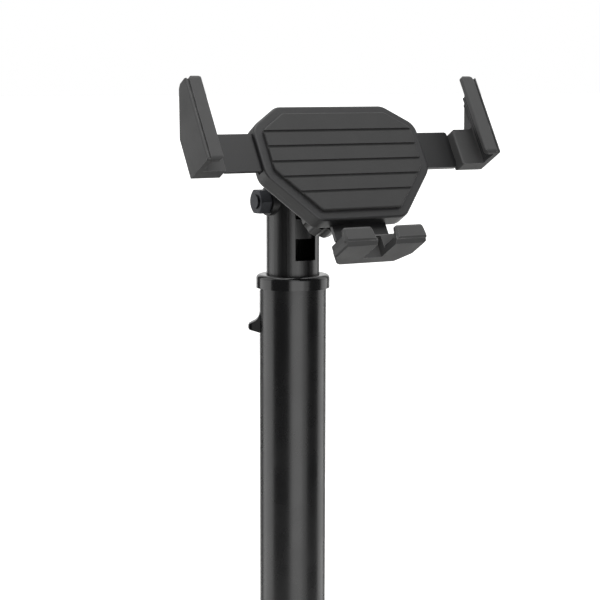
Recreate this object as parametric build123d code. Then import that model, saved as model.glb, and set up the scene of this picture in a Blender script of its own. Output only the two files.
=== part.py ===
from build123d import *
import math
import os

# An adjustable floor stand for a tablet: a heavy round base, a telescopic pole with
# a sprung release lever, a head that tilts and turns, and a holder whose side jaws
# close together on a rack and pinion while its bottom jaw slides by itself.
# Lengths are in millimetres. The origin is on the floor under the pole, +Z is up,
# and the holder faces the front, which is -Y.

os.makedirs("parts", exist_ok=True)

# Driving sizes: base and pole
base_diameter = 300.0
base_thickness = 8.0
foot_height = 3.0
outer_tube_diameter = 38.0
outer_tube_wall = 2.0
outer_tube_length = 681.5
mast_diameter = 30.0
mast_wall = 1.5
collar_cap = 3.7
hinge_rise = 41.6
mast_above_hinge = 12.0

# Driving sizes: holder, as the jaws stand in the photograph
holder_lean = 30.76
hinge_setback = 62.0
tablet_width = 176.4
tablet_thickness = 5.9
tablet_drop = 59.2
strip_thickness = 2.0
strip_width = 22.0
bottom_strip_width = 34.0
jaw_reach_out = 20.0
jaw_reach_in = 18.0
bottom_reach_down = 30.0
bottom_reach_up = 7.5

# Fits and clearances
press_fit = 0.02
shaft_fit = 0.08
slide_fit = 0.1
face_gap = 0.2
cut_overrun = 5.0

# Heights along the pole
base_bottom = foot_height
base_top = base_bottom + base_thickness
tube_bottom = base_top
tube_top = tube_bottom + outer_tube_length
collar_top = tube_top + collar_cap
hinge_z = collar_top + hinge_rise
mast_top = hinge_z + mast_above_hinge
tube_radius = outer_tube_diameter / 2
tube_bore = tube_radius - outer_tube_wall
mast_radius = mast_diameter / 2
mast_bore = mast_radius - mast_wall


def filled(lines):
    """The flat face inside some lines, facing up whichever way they run."""
    face = make_face(lines).face()
    return face if face.normal_at().Z > 0 else -face


def closed(points, radius=None):
    """A flat face from its corner points, with each corner rounded where radii are given."""
    if radius is None:
        return filled(Polyline(*points, close=True))
    return filled(FilletPolyline(*points, radius=radius, close=True))


def along_z(face, low, high):
    """A prism from a face drawn in x and y."""
    return extrude(Plane.XY.offset(low) * face, high - low)


def along_x(face, low, high):
    """A prism from a face drawn in y and z."""
    return extrude(Plane.YZ.offset(low) * face, high - low)


def along_y(face, low, high):
    """A prism from a face drawn in x and z."""
    return extrude(Plane.XZ.offset(-high) * face, high - low)


def turned(points, radius=None):
    """A turned piece, from its half section in radius and height."""
    return revolve(Plane.XZ * closed(points, radius), Axis.Z)


def rod(radius, low, high):
    """An upright cylinder between two heights."""
    return along_z(Circle(radius), low, high)


def rod_along_x(radius, low, high):
    """A cylinder along x between two places."""
    return along_x(Circle(radius), low, high)


def block(low, high):
    """A rectangular block from its lowest corner to its highest."""
    size = [b - a for a, b in zip(low, high)]
    corner = (Align.MIN, Align.MIN, Align.MIN)
    return Pos(*low) * Box(*size, align=corner)


def save(node, *solids):
    """Write one node: a single solid, or a group of like solids."""
    shape = Compound(children=list(solids)) if len(solids) > 1 else solids[0]
    shape.label = node
    export_step(shape, "parts/" + node + ".step")


# Base plate: a flat steel disc with rounded edges and a counterbored hole for the bolt
base_edge = 3.0
base_lower_edge = 1.0
bolt_radius = 5.0
bolt_hole = bolt_radius + 4 * shaft_fit
counterbore_radius = 17.0
counterbore_depth = 4.0
base_radius = base_diameter / 2

plate_section = [
    (bolt_hole, base_bottom + counterbore_depth),
    (counterbore_radius, base_bottom + counterbore_depth),
    (counterbore_radius, base_bottom),
    (base_radius, base_bottom),
    (base_radius, base_top),
    (bolt_hole, base_top),
]
base_plate = turned(plate_section, [0, 0, 0, base_lower_edge, base_edge, 0])

# Rubber feet: six round pads that sit in shallow pockets under the plate
foot_count = 6
foot_radius = 12.0
foot_pocket = 1.0
foot_edge = 0.8
foot_inset = 20.0
foot_circle = base_radius - foot_inset
feet = []
for place in PolarLocations(foot_circle, foot_count):
    foot = rod(foot_radius - press_fit, 0, base_bottom + foot_pocket)
    foot = fillet(foot.edges().group_by(Axis.Z)[0], foot_edge)
    feet.append(place * foot)
    base_plate -= place * rod(foot_radius, base_bottom - cut_overrun, base_bottom + foot_pocket)
save("rubber_feet", *feet)

# Locating pin: a dowel between plate and plug, so that the pole can't turn on its base
pin_radius = 2.0
pin_circle = 11.0
pin_depth = 3.0
pin_length = 10.0
pin_place = Pos(pin_circle, 0, 0)
pin_low = base_top - pin_depth
dowel = pin_place * rod(pin_radius, pin_low, pin_low + pin_length)
dowel_hole = rod(pin_radius + press_fit, pin_low, pin_low + pin_length)
base_plate -= pin_place * dowel_hole
save("foot_locating_pin", dowel)
save("base_plate", base_plate)

# Foot plug: a steel slug pressed into the tube, tapped for the bolt from below
plug_height = 35.0
plug_chamfer = 1.0
bolt_reach = 26.0
foot_plug = rod(tube_bore - press_fit, tube_bottom, tube_bottom + plug_height)
foot_plug = chamfer(foot_plug.edges().group_by(Axis.Z)[-1], plug_chamfer)
foot_plug -= rod(bolt_radius + shaft_fit, tube_bottom, tube_bottom + bolt_reach)
foot_plug -= pin_place * dowel_hole
save("foot_plug", foot_plug)
plug_top = tube_bottom + plug_height

# Post bolt and washer: the low head stays above the floor
washer_radius = 15.0
washer_thickness = 2.0
bolt_head_radius = 9.0
bolt_head_height = 4.0
bolt_socket = 6.0
bolt_socket_depth = 2.4
washer_top = base_bottom + counterbore_depth
washer_bottom = washer_top - washer_thickness
post_washer = rod(washer_radius, washer_bottom, washer_top) - rod(bolt_hole, washer_bottom, washer_top)
save("post_washer", post_washer)
post_bolt = rod(bolt_head_radius, washer_bottom - bolt_head_height, washer_bottom)
post_bolt = fillet(post_bolt.edges().group_by(Axis.Z)[0], bolt_head_height / 4)
post_bolt += rod(bolt_radius, washer_bottom, tube_bottom + bolt_reach - shaft_fit)
socket = RegularPolygon(bolt_socket / 2, 6, major_radius=False)
socket_floor = washer_bottom - bolt_head_height + bolt_socket_depth
post_bolt -= along_z(socket, washer_bottom - bolt_head_height - cut_overrun, socket_floor)
save("post_bolt", post_bolt)

# Trim ring: a moulded flare that covers the joint between tube and plate
trim_radius = 30.0
trim_height = 14.0
trim_lip = 1.6
trim_inner = tube_radius + slide_fit
trim_curve_share = 0.22
trim_mid = (
    trim_inner + trim_lip + trim_curve_share * (trim_radius - trim_inner),
    base_top + trim_curve_share * trim_height + trim_lip,
)
trim_low = (trim_radius, base_top + trim_lip)
trim_high = (trim_inner + trim_lip, base_top + trim_height)
trim_curve = ThreePointArc(trim_low, trim_mid, trim_high)
trim_sides = Polyline(
    trim_high,
    (trim_inner, base_top + trim_height),
    (trim_inner, base_top),
    (trim_radius, base_top),
    trim_low,
)
foot_trim_ring = revolve(Plane.XZ * filled([trim_curve, trim_sides]), Axis.Z)
save("foot_trim_ring", foot_trim_ring)

# Release lever: the sizes that the tube and the collar are cut for. Distances out
# are from the pole's axis, drops are down from the collar's top, and the lever is
# drawn pointing along +X and then turned to its side of the pole.
lever_turn = 150.0
lever_width = 8.0
lever_top_drop = 9.8
lever_bottom_drop = 34.0
lever_pivot_drop = 20.7
lever_pivot_out = 16.9
lever_pin_radius = 0.7
cheek_width = 1.35
lever_side_gap = 0.25
slot_end_gap = 0.6
pocket_wall = 1.1
pocket_out = tube_bore - pocket_wall
lever_place = Pos(0, 0, collar_top)
window_half = lever_width / 2 + lever_side_gap
cheek_half = window_half + cheek_width
slot_drop = lever_bottom_drop + slot_end_gap
hub_radius = 1.5

# Outer tube: drawn steel tube, slotted from its top end for the lever and its cheeks
tube_slot_half = cheek_half + slide_fit
tube_ring = Circle(tube_radius) - Circle(tube_bore)
outer_tube = along_z(tube_ring, tube_bottom, tube_top)
tube_slot = block(
    (0, -tube_slot_half, -slot_drop - slide_fit), (tube_radius + cut_overrun, tube_slot_half, 0)
)
outer_tube -= Rot(0, 0, lever_turn) * (lever_place * tube_slot)

# Guide collar: cap, guide sleeve and the two cheeks that carry the lever, in one moulding
collar_radius = 20.9
collar_skirt_drop = 7.6
collar_rim = 2.4
collar_lead = 0.6
sleeve_drop = 49.2
sleeve_bore = mast_radius + slide_fit
sleeve_radius = tube_bore - slide_fit
collar_section = [
    (sleeve_bore, -collar_lead),
    (sleeve_bore + collar_lead, 0),
    (collar_radius, 0),
    (collar_radius, -collar_skirt_drop),
    (tube_radius + slide_fit, -collar_skirt_drop),
    (tube_radius + slide_fit, -collar_cap),
    (sleeve_radius, -collar_cap),
    (sleeve_radius, -sleeve_drop),
    (sleeve_bore, -sleeve_drop),
]
collar_rounds = [0, 0, collar_rim, 0, 0, 0, 0, 0, 0]
collar = turned(collar_section, collar_rounds)
cheeks = block((sleeve_bore, -cheek_half, -slot_drop), (tube_radius, cheek_half, -collar_cap))
cheeks = cheeks & (rod(tube_radius, -slot_drop, 0) - rod(sleeve_bore, -slot_drop, 0))
collar += cheeks
lever_window = block(
    (sleeve_bore - cut_overrun, -window_half, -lever_pivot_drop - hub_radius - face_gap),
    (tube_radius + slide_fit, window_half, -collar_skirt_drop - face_gap),
)
lever_pocket = block(
    (pocket_out, -window_half, -slot_drop - slide_fit),
    (tube_radius + slide_fit, window_half, -collar_skirt_drop - face_gap),
)
pin_across = Pos(lever_pivot_out, 0, -lever_pivot_drop) * Rot(90, 0, 0)
pin_reach = cheek_half - slide_fit
pin_bore = pin_across * Cylinder(lever_pin_radius + press_fit, 2 * cheek_half)
collar = collar - lever_window - lever_pocket - pin_bore

# Collar screws: two at the back, through the tube into the sleeve
screw_angles = [30.0, 90.0]
screw_drop = 41.2
screw_head_radius = 2.6
screw_head_depth = 0.8
screw_radius = 1.25
screws = []
screw_hole = rod_along_x(screw_radius, sleeve_bore - cut_overrun, tube_radius + cut_overrun)
screw_sink = rod_along_x(screw_head_radius, tube_radius - screw_head_depth, tube_radius + cut_overrun)
collar_screw = rod_along_x(screw_radius - press_fit, sleeve_bore + slide_fit, tube_radius - screw_head_depth)
screw_seat = tube_radius - screw_head_depth
collar_screw += rod_along_x(screw_head_radius - slide_fit, screw_seat, tube_radius - face_gap)
for angle in screw_angles:
    side = Rot(0, 0, angle) * Pos(0, 0, -screw_drop)
    collar -= Rot(0, 0, -lever_turn) * (side * screw_hole)
    outer_tube -= Pos(0, 0, collar_top) * (side * screw_hole)
    outer_tube -= Pos(0, 0, collar_top) * (side * screw_sink)
    screws.append(Pos(0, 0, collar_top) * (side * collar_screw))
save("collar_screws", *screws)
save("outer_tube", outer_tube)


def at_lever(shape):
    """Put a piece that is drawn along +X on the lever's side of the pole."""
    return Rot(0, 0, lever_turn) * (lever_place * shape)


save("guide_collar", at_lever(collar))
save("lever_pin", at_lever(pin_across * Cylinder(lever_pin_radius, 2 * pin_reach)))

# Release lever: a rocker that lies flush in the tube, with a thumb nub below its pin
flush_gap = 0.05
brake_gap = 0.25
brake_thickness = 0.95
spring_room = 1.4
lever_face = tube_radius - flush_gap
brake_inner = mast_radius + brake_gap
brake_back = brake_inner + brake_thickness
lower_inner = pocket_out + spring_room
nub_width = 7.2
nub_tip = 6.4
nub_round = 1.6
nub_plan_round = 2.2
nub_root_drop = 21.7
nub_shoulder_out = 3.6
nub_shoulder_drop = 27.1
nub_sag_out = 1.0
nub_sag_drop = 25.1
nub_high_drop = 28.6
nub_low_drop = 31.5
nub_heel_drop = 33.4

rocker_points = [
    (brake_back, -lever_top_drop),
    (tube_radius + cut_overrun, -lever_top_drop),
    (tube_radius + cut_overrun, -lever_bottom_drop),
    (lower_inner, -lever_bottom_drop),
    (lower_inner, -lever_pivot_drop - 2 * hub_radius),
    (brake_back, -lever_pivot_drop),
]
rocker = along_y(closed(rocker_points), -lever_width / 2, lever_width / 2)
hub = Pos(lever_pivot_out, 0, -lever_pivot_drop) * Rot(90, 0, 0) * Cylinder(hub_radius, lever_width)
rocker = (rocker + hub) & rod(lever_face, -slot_drop, 0)
nub_top = ThreePointArc(
    (lever_face, -nub_root_drop),
    (tube_radius + nub_sag_out, -nub_sag_drop),
    (tube_radius + nub_shoulder_out, -nub_shoulder_drop),
)
nub_sides = FilletPolyline(
    (tube_radius + nub_shoulder_out, -nub_shoulder_drop),
    (tube_radius + nub_tip, -nub_high_drop),
    (tube_radius + nub_tip, -nub_low_drop),
    (lever_face, -nub_heel_drop),
    radius=nub_round,
)
nub_root = Polyline(
    (lever_face, -nub_heel_drop),
    (lower_inner, -nub_heel_drop),
    (lower_inner, -nub_root_drop - hub_radius),
    (lever_face, -nub_root_drop),
)
nub = along_y(filled([nub_top, nub_sides, nub_root]), -nub_width / 2, nub_width / 2)
nub_plan = [
    (lower_inner, -nub_width / 2),
    (tube_radius + nub_tip, -nub_width / 2),
    (tube_radius + nub_tip, nub_width / 2),
    (lower_inner, nub_width / 2),
]
nub = nub & along_z(closed(nub_plan, [0, nub_plan_round, nub_plan_round, 0]), -slot_drop, 0)
lever = rocker + nub
lever -= pin_across * Cylinder(lever_pin_radius + shaft_fit, 2 * cheek_half)
save("release_lever", at_lever(lever))

# Brake pad: rubber bonded to the rocker above the pin, hollowed to the mast
pad_top_drop = 10.4
pad_bottom_drop = 17.7
pad_half = 3.4
pad = block((mast_radius - cut_overrun, -pad_half, -pad_bottom_drop), (brake_back, pad_half, -pad_top_drop))
pad -= rod(brake_inner, -slot_drop, 0)
save("brake_pad", at_lever(pad))

# Lever spring: a bowed leaf between the pocket's floor and the rocker's lower half
leaf_thickness = 0.3
leaf_half = 2.4
leaf_top_drop = 23.6
leaf_bottom_drop = 33.2
leaf_mid_drop = (leaf_top_drop + leaf_bottom_drop) / 2
leaf_bow = lower_inner - leaf_thickness - flush_gap
leaf_foot = pocket_out + flush_gap
leaf_line = ThreePointArc(
    (leaf_foot, -leaf_top_drop), (leaf_bow, -leaf_mid_drop), (leaf_foot, -leaf_bottom_drop)
)
leaf_back = ThreePointArc(
    (leaf_foot + leaf_thickness, -leaf_top_drop),
    (leaf_bow + leaf_thickness, -leaf_mid_drop),
    (leaf_foot + leaf_thickness, -leaf_bottom_drop),
)
leaf_ends = [Line(leaf_line @ 0, leaf_back @ 0), Line(leaf_line @ 1, leaf_back @ 1)]
leaf = along_y(filled([leaf_line, leaf_back, *leaf_ends]), -leaf_half, leaf_half)
save("lever_spring", at_lever(leaf))

# Mast foot plug: fills the mast's lower end and carries the glide on its stem
mast_rest_gap = 0.3
stop_flange = 2.7
glide_height = 18.6
stem_radius = 11.0
plug_in_mast = 20.0
stop_flange_radius = 14.5
mast_bottom = plug_top + mast_rest_gap + stop_flange + glide_height + 2 * face_gap
stem_low = plug_top + mast_rest_gap
mast_plug = rod(stop_flange_radius, stem_low, stem_low + stop_flange)
mast_plug += rod(stem_radius, stem_low, mast_bottom)
mast_plug += rod(mast_bore - press_fit, mast_bottom, mast_bottom + plug_in_mast)
mast_plug = chamfer(mast_plug.edges().group_by(Axis.Z)[-1], plug_chamfer)
save("mast_foot_plug", mast_plug)

# Lower glide: a split nylon ring that slides in the outer tube, free to turn on the stem
glide_split = 1.5
glide_low = stem_low + stop_flange + face_gap
glide_lead = 1.2
glide_high = glide_low + glide_height
glide_rim = tube_bore - slide_fit
glide_points = [
    (stem_radius + slide_fit, glide_low),
    (glide_rim - glide_lead, glide_low),
    (glide_rim, glide_low + glide_lead),
    (glide_rim, glide_high - glide_lead),
    (glide_rim - glide_lead, glide_high),
    (stem_radius + slide_fit, glide_high),
]
glide = turned(glide_points)
split_cut = block((0, -glide_split / 2, glide_low), (tube_radius, glide_split / 2, glide_high))
save("lower_glide", glide - split_cut)

# Mast tube: the inner tube, slotted at the front of its top end for the tilt arm and a cable
mast_slot_width = 13.0
mast_slot_rise = 8.6
tilt_bolt_radius = 4.0
mast_ring = Circle(mast_radius) - Circle(mast_bore)
mast_tube = along_z(mast_ring, mast_bottom, mast_top)
slot_half = mast_slot_width / 2
mast_slot_low = collar_top + mast_slot_rise
mast_slot = block((-slot_half, -mast_radius - cut_overrun, mast_slot_low), (slot_half, 0, mast_top))
tilt_bore = Pos(0, 0, hinge_z) * rod_along_x(tilt_bolt_radius + slide_fit, -mast_radius, mast_radius)
mast_tube = mast_tube - mast_slot - tilt_bore
save("mast_tube", mast_tube)

# Mast head: a cast fork pushed into the mast, with a rounded cap over the tube's end
arm_hub_radius = 9.0
head_cap = 2.5
head_edge = 1.5
head_depth = 11.0
arm_swing_gap = 0.8
arm_swing = arm_hub_radius + arm_swing_gap
head = rod(mast_bore - press_fit, hinge_z - arm_swing - head_depth, mast_top)
head_rim = rod(mast_radius, mast_top, mast_top + head_cap)
head += fillet(head_rim.edges().group_by(Axis.Z)[-1], head_edge)
fork_gap = block(
    (-slot_half, -mast_radius - cut_overrun, hinge_z - arm_swing),
    (slot_half, arm_swing, mast_top + head_cap),
)
head = head - fork_gap - tilt_bore
save("mast_head", head)

# Tilt bolt, nut and saddle washers: the washers are hollowed to sit on the round mast
saddle_radius = 8.0
saddle_height = 2.2
saddle_out = mast_radius + saddle_height
tilt_head_radius = 7.0
tilt_head_height = 4.4
tilt_socket_half = 2.5
tilt_nut_flats = 13.0
tilt_nut_height = 7.0
tilt_end = 1.0
at_hinge = Pos(0, 0, hinge_z)
saddle = rod_along_x(saddle_radius, 0, saddle_out)
saddle -= rod_along_x(tilt_bolt_radius + slide_fit, 0, saddle_out)
saddle = at_hinge * saddle - rod(mast_radius, hinge_z - saddle_radius, hinge_z + saddle_radius)
save("saddle_washers", saddle, mirror(saddle, Plane.YZ))
bolt_shank_end = saddle_out + tilt_nut_height + tilt_end
tilt_head = rod_along_x(tilt_head_radius, saddle_out, saddle_out + tilt_head_height)
tilt_head = fillet(tilt_head.edges().group_by(Axis.X)[-1], tilt_head_height / 2)
tilt_socket = along_x(
    RegularPolygon(tilt_socket_half, 6, major_radius=False),
    saddle_out + tilt_head_height / 2,
    saddle_out + tilt_head_height + cut_overrun,
)
tilt_bolt = tilt_head + rod_along_x(tilt_bolt_radius, -bolt_shank_end, saddle_out) - tilt_socket
save("tilt_bolt", at_hinge * tilt_bolt)
tilt_nut = along_x(
    RegularPolygon(tilt_nut_flats / 2, 6, major_radius=False), -saddle_out - tilt_nut_height, -saddle_out
)
tilt_nut -= rod_along_x(tilt_bolt_radius + press_fit, -saddle_out - tilt_nut_height, -saddle_out)
save("tilt_nut", at_hinge * tilt_nut)

# Friction washers: one each side of the tongue, they hold the tilt
tilt_washer = 0.8
tongue_half = slot_half - tilt_washer - slide_fit
washer_inset = 0.5
washer_ring = rod_along_x(
    arm_hub_radius - washer_inset, tongue_half + slide_fit / 2, slot_half - slide_fit / 2
)
washer_ring -= rod_along_x(tilt_bolt_radius + shaft_fit, 0, slot_half)
tilt_washers = at_hinge * washer_ring
save("tilt_friction_washers", tilt_washers, mirror(tilt_washers, Plane.YZ))

# Holder frame: drawn lying flat, with x across, y up the holder and z out of its face.
# Its origin is where the turning axis meets the face that the tablet's back rests on.
lean = math.radians(holder_lean)
holder_x = (1, 0, 0)
holder_z = (0, -math.cos(lean), math.sin(lean))
holder_origin = (0, -hinge_setback * math.cos(lean), hinge_z + hinge_setback * math.sin(lean))
holder_plane = Plane(origin=holder_origin, x_dir=holder_x, z_dir=holder_z)


def in_holder(*shapes):
    """Move pieces that are drawn flat to where the holder stands."""
    return [holder_plane.location * shape for shape in shapes]


# Layers of the holder, from its face backwards
pad_proud = 2.0
cover_wall = 2.0
shell_floor = 2.5
cover_face = -pad_proud
cover_inner = cover_face - cover_wall
left_front = cover_inner - face_gap
left_back = left_front - strip_thickness
right_front = left_back - face_gap
right_back = right_front - strip_thickness
bottom_front = right_back - face_gap
bottom_back = bottom_front - strip_thickness
shell_inner = bottom_back - face_gap
shell_back = shell_inner - shell_floor

# Turning joint behind the shell
disc_thickness = 0.8
flange_radius = 21.0
flange_thickness = 4.0
disc_front = shell_back - slide_fit
flange_front = disc_front - disc_thickness - slide_fit
flange_back = flange_front - flange_thickness

# Tilt arm: one casting with a tongue for the mast's fork, a neck and a round flange
neck_radius = 13.0
neck_length = 16.0
neck_corner = 2.5
tongue_height = 17.0
thread_radius = 3.0
thread_depth = 16.0
flange_edge = 1.2
flange = rod(flange_radius, flange_back, flange_front)
flange = fillet(flange.edges().group_by(Axis.Z)[0], flange_edge)
neck_end = flange_back - neck_length
neck_profiles = [
    Plane.XY.offset(flange_back) * Circle(neck_radius),
    Plane.XY.offset(neck_end) * RectangleRounded(2 * tongue_half, tongue_height, neck_corner),
]
tongue_back = -hinge_setback
tongue = block((-tongue_half, -tongue_height / 2, tongue_back), (tongue_half, tongue_height / 2, neck_end))
tongue += Pos(0, 0, tongue_back) * rod_along_x(arm_hub_radius, -tongue_half, tongue_half)
tilt_arm = flange + loft(neck_profiles) + tongue
tilt_arm -= Pos(0, 0, tongue_back) * rod_along_x(tilt_bolt_radius + shaft_fit, -tongue_half, tongue_half)
tilt_arm -= rod(thread_radius + press_fit, flange_front - thread_depth, flange_front)
save("tilt_arm", *in_holder(tilt_arm))

# Friction disc, spring washer and shoulder bolt of the turning joint
shoulder_radius = 5.0
spin_head_radius = 8.0
spin_head_height = 1.3
spin_washer = 0.5
disc_inset = 1.5
disc = rod(flange_radius - disc_inset, disc_front - disc_thickness, disc_front)
disc -= rod(shoulder_radius + shaft_fit, disc_front - disc_thickness, disc_front)
save("spin_friction_disc", *in_holder(disc))
washer_low = shell_inner + slide_fit / 2
head_low = washer_low + spin_washer + slide_fit / 2
spring_washer = rod(spin_head_radius - slide_fit, washer_low, washer_low + spin_washer)
spring_washer -= rod(shoulder_radius + shaft_fit, washer_low, washer_low + spin_washer)
save("spin_spring_washer", *in_holder(spring_washer))
spin_bolt = rod(spin_head_radius, head_low, head_low + spin_head_height)
spin_bolt = chamfer(spin_bolt.edges().group_by(Axis.Z)[-1], spin_head_height / 4)
spin_bolt += rod(shoulder_radius, flange_front, head_low)
spin_bolt += rod(thread_radius, flange_front - thread_depth + face_gap, flange_front)
save("spin_bolt", *in_holder(spin_bolt))

# Pinion: involute teeth, in mesh with a rack above it and a rack below it
module = 0.75
tooth_count = 16
pressure_angle = math.radians(20)
backlash = 0.1
pitch_radius = module * tooth_count / 2
tooth_pitch = math.pi * module
tooth_width = tooth_pitch / 2 - backlash
addendum_share = 0.9
dedendum_share = 1.25
base_circle = pitch_radius * math.cos(pressure_angle)
tip_circle = pitch_radius + module
root_circle = pitch_radius - dedendum_share * module
axle_radius = 2.5


def involute(angle):
    """The involute function of a pressure angle."""
    return math.tan(angle) - angle


def flank_angle(radius):
    """Half the angle that a tooth fills at a radius."""
    at_pitch = tooth_width / (2 * pitch_radius) + involute(pressure_angle)
    return at_pitch - involute(math.acos(min(1, base_circle / radius)))


def polar(radius, angle):
    """A point by radius and angle."""
    return (radius * math.cos(angle), radius * math.sin(angle))


def pinion_outline():
    """The pinion's outline: involute flanks, tip arcs and root arcs."""
    lines = []
    middle = (base_circle + tip_circle) / 2
    step = 2 * math.pi / tooth_count
    for tooth in range(tooth_count):
        centre = math.pi / 2 + tooth * step
        root = centre - flank_angle(base_circle)
        low = [polar(r, centre - flank_angle(r)) for r in (base_circle, middle, tip_circle)]
        high = [polar(r, centre + flank_angle(r)) for r in (tip_circle, middle, base_circle)]
        lines.append(Line(polar(root_circle, root), low[0]))
        lines.append(ThreePointArc(*low))
        lines.append(ThreePointArc(low[2], polar(tip_circle, centre), high[0]))
        lines.append(ThreePointArc(*high))
        end = centre + flank_angle(base_circle)
        lines.append(Line(high[2], polar(root_circle, end)))
        gap = (end + root + step) / 2
        root_points = [polar(root_circle, angle) for angle in (end, gap, root + step)]
        lines.append(ThreePointArc(*root_points))
    return filled(lines)


pinion_front = left_front - slide_fit / 2
pinion_back = right_back + slide_fit / 2
pinion = along_z(pinion_outline(), pinion_back, pinion_front)
pinion -= rod(axle_radius + shaft_fit, pinion_back, pinion_front)
save("pinion", *in_holder(pinion))

# Side arms: flat steel strips with a toothed slot, one in front of the other
jaw_wall = 3.4
jaw_liner = 0.6
liner_slack = 0.15
jaw_wall_in = tablet_width / 2 + liner_slack + jaw_liner
jaw_out = jaw_wall_in + jaw_wall
jaw_foot = 17.4
jaw_foot_in = jaw_out - jaw_foot
tang_width = 16.0
tang_inset = 4.8
tang_out = jaw_out - tang_inset
strip_half = strip_width / 2
rack_tip = pitch_radius - addendum_share * module
rack_root = pitch_radius + dedendum_share * module
slot_run = tip_circle + module
rack_low = -jaw_reach_in - slot_run
rack_high = jaw_reach_out + slot_run
plain_side = -slot_run - module
strip_end = 3.5
strip_tail = rack_high + strip_end
strip_round = 1.5
jaw_screw_in = 12.6
jaw_screw_x = jaw_out - jaw_screw_in
jaw_screw_y = 4.6
jaw_screw_radius = 1.5


def rack_slot():
    """The slot's outline in the left arm: teeth along its upper side, the rest plain."""
    slope = math.tan(pressure_angle)
    half_tip = tooth_width / 2 - addendum_share * module * slope
    half_root = tooth_width / 2 + dedendum_share * module * slope
    points = [(rack_low, plain_side), (rack_low, rack_root)]
    count = int((rack_high - rack_low) / tooth_pitch)
    first = math.ceil((rack_low + half_root) / tooth_pitch - 0.5)
    for tooth in range(first, first + count):
        centre = (tooth + 0.5) * tooth_pitch
        if centre + half_root < rack_high:
            points.append((centre - half_root, rack_root))
            points.append((centre - half_tip, rack_tip))
            points.append((centre + half_tip, rack_tip))
            points.append((centre + half_root, rack_root))
    points += [(rack_high, rack_root), (rack_high, plain_side)]
    return closed(points)


def arm_strip(front):
    """The left arm's strip, with its front face at the given height."""
    shoulder = -jaw_foot_in + face_gap
    corners = [
        (strip_tail, -strip_half),
        (strip_tail, strip_half),
        (shoulder, strip_half),
        (shoulder, tang_width / 2),
        (-tang_out, tang_width / 2),
        (-tang_out, -tang_width / 2),
        (shoulder, -tang_width / 2),
        (shoulder, -strip_half),
    ]
    rounds = [strip_round, strip_round, strip_round, 0, strip_round, strip_round, 0, strip_round]
    face = closed(corners, rounds) - rack_slot()
    for side in (-1, 1):
        face -= Pos(-jaw_screw_x, side * jaw_screw_y) * Circle(jaw_screw_radius + slide_fit)
    return along_z(face, front - strip_thickness, front)


left_strip = arm_strip(left_front)
right_strip = Rot(0, 0, 180) * arm_strip(right_front)
save("left_arm_rack", *in_holder(left_strip))
save("right_arm_rack", *in_holder(right_strip))

# Side jaws: a moulded hook round the tablet's edge, on a foot that takes the strip's end.
# A groove parts the lip's raised panel from the ridge along the jaw's outer corner.
lip_proud = 6.5
lip_front = tablet_thickness + lip_proud
lip_thickness = 2.8
lip_reach = 10.0
lip_in = jaw_out - lip_reach
lip_back = lip_front - lip_thickness
jaw_low = -12.0
jaw_high = 36.8
jaw_back = -9.6
foot_high = 9.5
slope_top = 33.2
slope_top_back = 4.0
foot_face = -0.8
wall_drop = 2.1
wall_high = jaw_high - wall_drop
ridge_width = 1.2
groove_in_lip = 1.2
lip_groove_depth = 0.8
lip_out = jaw_out - ridge_width - groove_in_lip
lip_floor = lip_front - lip_groove_depth
jaw_corner = 0.9
jaw_edge = 1.2
jaw_end_front = 2.0
jaw_end_back = 1.6
slope_round = 3.4
slope_top_round = 3.0
lip_corner = 3.0
lip_outer_corner = 1.2
lip_top_corner = 3.4
lip_tip = 1.0
jaw_head_radius = 2.8
jaw_head_height = 1.6
jaw_head_sink = 0.8
jaw_screw_skin = 0.8
jaw_screw_top = foot_face - jaw_screw_skin


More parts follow.
